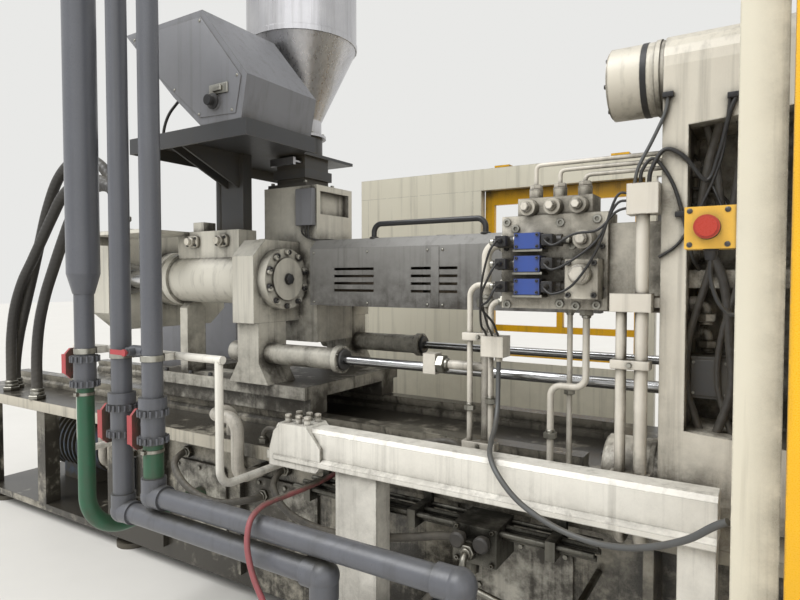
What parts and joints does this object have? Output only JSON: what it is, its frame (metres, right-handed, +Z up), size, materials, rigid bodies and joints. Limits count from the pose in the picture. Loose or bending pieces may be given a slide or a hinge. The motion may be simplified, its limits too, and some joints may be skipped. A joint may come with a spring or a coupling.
{
  "type": "injection moulding machine",
  "caption": "Horizontal injection moulding machine: hydraulic clamp with tie bars and sliding gates, hopper-fed screw injection unit, oil bed, manifold, hoses and cooling water pipes.",
  "frame": {"origin": "middle of the locating bore's mouth, on the fixed platen's mould face", "axes": "+X along the clamp axis, away from the injection unit; +Z up; -Y towards the rear side, where the manifold and the water pipes are"},
  "size_m": [9, 2.683, 3.2073],
  "materials": {
    "cream_paint": "satin, worn machine enamel",
    "white_pipe": "satin enamel on steel tube",
    "grey_paint": "fine texture powder coat",
    "dark_paint": "semi-matt enamel",
    "black_paint": "satin powder coat",
    "yellow_paint": "gloss enamel",
    "blue_paint": "satin enamel",
    "yellow_box": "moulded",
    "blue_valve": "satin enamel",
    "black_steel": "blackened, oiled",
    "barrel_steel": "ground, heat tinted",
    "bright_steel": "brushed stainless sheet",
    "hard_chrome": "ground hard chrome",
    "cast_housing": "as cast, oiled",
    "heater_mica": "heat tinted sheet",
    "grey_pvc": "extruded",
    "black_plastic": "moulded",
    "red_plastic": "moulded",
    "red_lever": "vinyl dipped",
    "green_hose": "extruded",
    "black_rubber": "wrapped cover",
    "red_rubber": "extruded",
    "grey_cable": "extruded jacket"
  },
  "bodies": {
    "root": {"clamp_bed": "cream_paint", "injection_bed": "cream_paint", "levelling_pads": "dark_paint", "fixed_platen": "cream_paint", "rear_platen": "cream_paint", "tie_bars": "hard_chrome", "tie_bar_nuts": "black_steel", "tie_bar_covers": "cream_paint", "clamp_cylinder": "cream_paint", "pump_motor": "blue_paint", "hydraulic_pump": "cast_housing", "electric_cabinet": "grey_paint", "guard_posts": "cream_paint", "guard_rails": "cream_paint", "guard_panels": "cream_paint", "manifold_block": "cream_paint", "directional_valves": "blue_valve", "manifold_pipes": "white_pipe", "estop_box": "yellow_box", "water_pipes": "grey_pvc", "ball_valves": "grey_pvc", "green_hoses": "green_hose", "side_beam": "cream_paint", "tube_bundle": "bright_steel", "carriage_rods": "hard_chrome", "black_hoses": "black_rubber", "grey_cable": "grey_cable", "red_hose": "red_rubber"},
    "carriage": {"carriage_base": "cream_paint", "feed_housing": "cream_paint", "barrel": "barrel_steel", "nozzle": "barrel_steel", "heater_bands": "heater_mica", "barrel_cover": "bright_steel", "cover_handle": "black_paint", "injection_cylinders": "cream_paint", "hopper": "bright_steel", "throat_stack": "dark_paint", "dosing_box": "grey_paint"},
    "crosshead": {"crosshead": "cream_paint", "piston_rods": "hard_chrome", "screw_motor": "cream_paint"},
    "screw": {"screw": "barrel_steel"},
    "moving_platen": {"moving_platen": "cream_paint", "clamp_ram": "hard_chrome"},
    "ejector": {"ejector_plate": "barrel_steel"},
    "rear_gate": {"rear_gate": "yellow_paint"},
    "front_gate": {"front_gate": "yellow_paint"},
    "purge_gate": {"purge_gate": "yellow_paint"},
    "stop_stem": {"estop_stem": "black_plastic"},
    "stop_head": {"estop_head": "red_plastic"},
    "lever_1": {"lever_1": "red_lever"},
    "lever_2": {"lever_2": "red_lever"},
    "lever_3": {"lever_3": "red_lever"},
    "lever_4": {"lever_4": "red_lever"},
    "hopper_lid": {"hopper_lid": "bright_steel"},
    "hopper_slide": {"hopper_slide": "bright_steel"},
    "cabinet_door": {"cabinet_door": "grey_paint"},
    "motor_rotor": {"motor_rotor": "black_steel"},
    "control_panel": {"control_panel": "grey_paint"}
  },
  "joints": [
    {"name": "platen_slide", "type": "slide", "parent": "root", "child": "moving_platen", "axis": [1, 0, 0], "range_m": [-0.45, 0.4]},
    {"name": "ejector_slide", "type": "slide", "parent": "moving_platen", "child": "ejector", "axis": [-1, 0, 0], "range_m": [0, 0.165]},
    {"name": "carriage_slide", "type": "slide", "parent": "root", "child": "carriage", "axis": [1, 0, 0], "range_m": [-0.5, 0], "deforming": ["black_hoses"]},
    {"name": "injection_slide", "type": "slide", "parent": "carriage", "child": "crosshead", "axis": [1, 0, 0], "range_m": [-0.4, 0]},
    {"name": "screw_turn", "type": "hinge", "parent": "crosshead", "child": "screw", "pos_m": [-3, 0, 0], "axis": [1, 0, 0], "continuous": true},
    {"name": "rear_gate_slide", "type": "slide", "parent": "root", "child": "rear_gate", "axis": [1, 0, 0], "range_m": [0, 1.35]},
    {"name": "front_gate_slide", "type": "slide", "parent": "root", "child": "front_gate", "axis": [1, 0, 0], "range_m": [0, 1.35]},
    {"name": "purge_gate_slide", "type": "slide", "parent": "root", "child": "purge_gate", "axis": [-1, 0, 0], "range_m": [0, 0.9]},
    {"name": "stop_push", "type": "slide", "parent": "root", "child": "stop_stem", "axis": [0, 1, 0], "range_m": [0, 0.006]},
    {"name": "stop_twist", "type": "hinge", "parent": "stop_stem", "child": "stop_head", "pos_m": [-0.246, -1.21, 0.1], "axis": [0, 1, 0], "range_deg": [0, 45]},
    {"name": "lever_1_turn", "type": "hinge", "parent": "root", "child": "lever_1", "pos_m": [-2.57, -1.11, -0.372], "axis": [1, 0, 0], "range_deg": [0, 90]},
    {"name": "lever_2_turn", "type": "hinge", "parent": "root", "child": "lever_2", "pos_m": [-2.326, -1.11, -0.54], "axis": [1, 0, 0], "range_deg": [0, 90]},
    {"name": "lever_3_turn", "type": "hinge", "parent": "root", "child": "lever_3", "pos_m": [-2.139, -1.11, -0.54], "axis": [1, 0, 0], "range_deg": [0, 90]},
    {"name": "lever_4_turn", "type": "hinge", "parent": "root", "child": "lever_4", "pos_m": [-2.1485, -1.17, -0.27], "axis": [0, 1, 0], "range_deg": [0, 90]},
    {"name": "hopper_lid_hinge", "type": "hinge", "parent": "carriage", "child": "hopper_lid", "pos_m": [-2.3, 0.304, 1.662], "axis": [-1, 0, 0], "range_deg": [0, 100]},
    {"name": "hopper_slide_pull", "type": "slide", "parent": "carriage", "child": "hopper_slide", "axis": [0, -1, 0], "range_m": [0, 0.15]},
    {"name": "cabinet_door_hinge", "type": "hinge", "parent": "root", "child": "cabinet_door", "pos_m": [-4.6, 1.0856, -0.6], "axis": [0, 0, 1], "range_deg": [0, 110]},
    {"name": "motor_turn", "type": "hinge", "parent": "root", "child": "motor_rotor", "pos_m": [-4, 0, -1.15], "axis": [1, 0, 0], "continuous": true},
    {"name": "panel_swivel", "type": "hinge", "parent": "root", "child": "control_panel", "pos_m": [-0.157, 1.295, 0.2], "axis": [0, 0, 1], "range_deg": [-100, 0]}
  ]
}
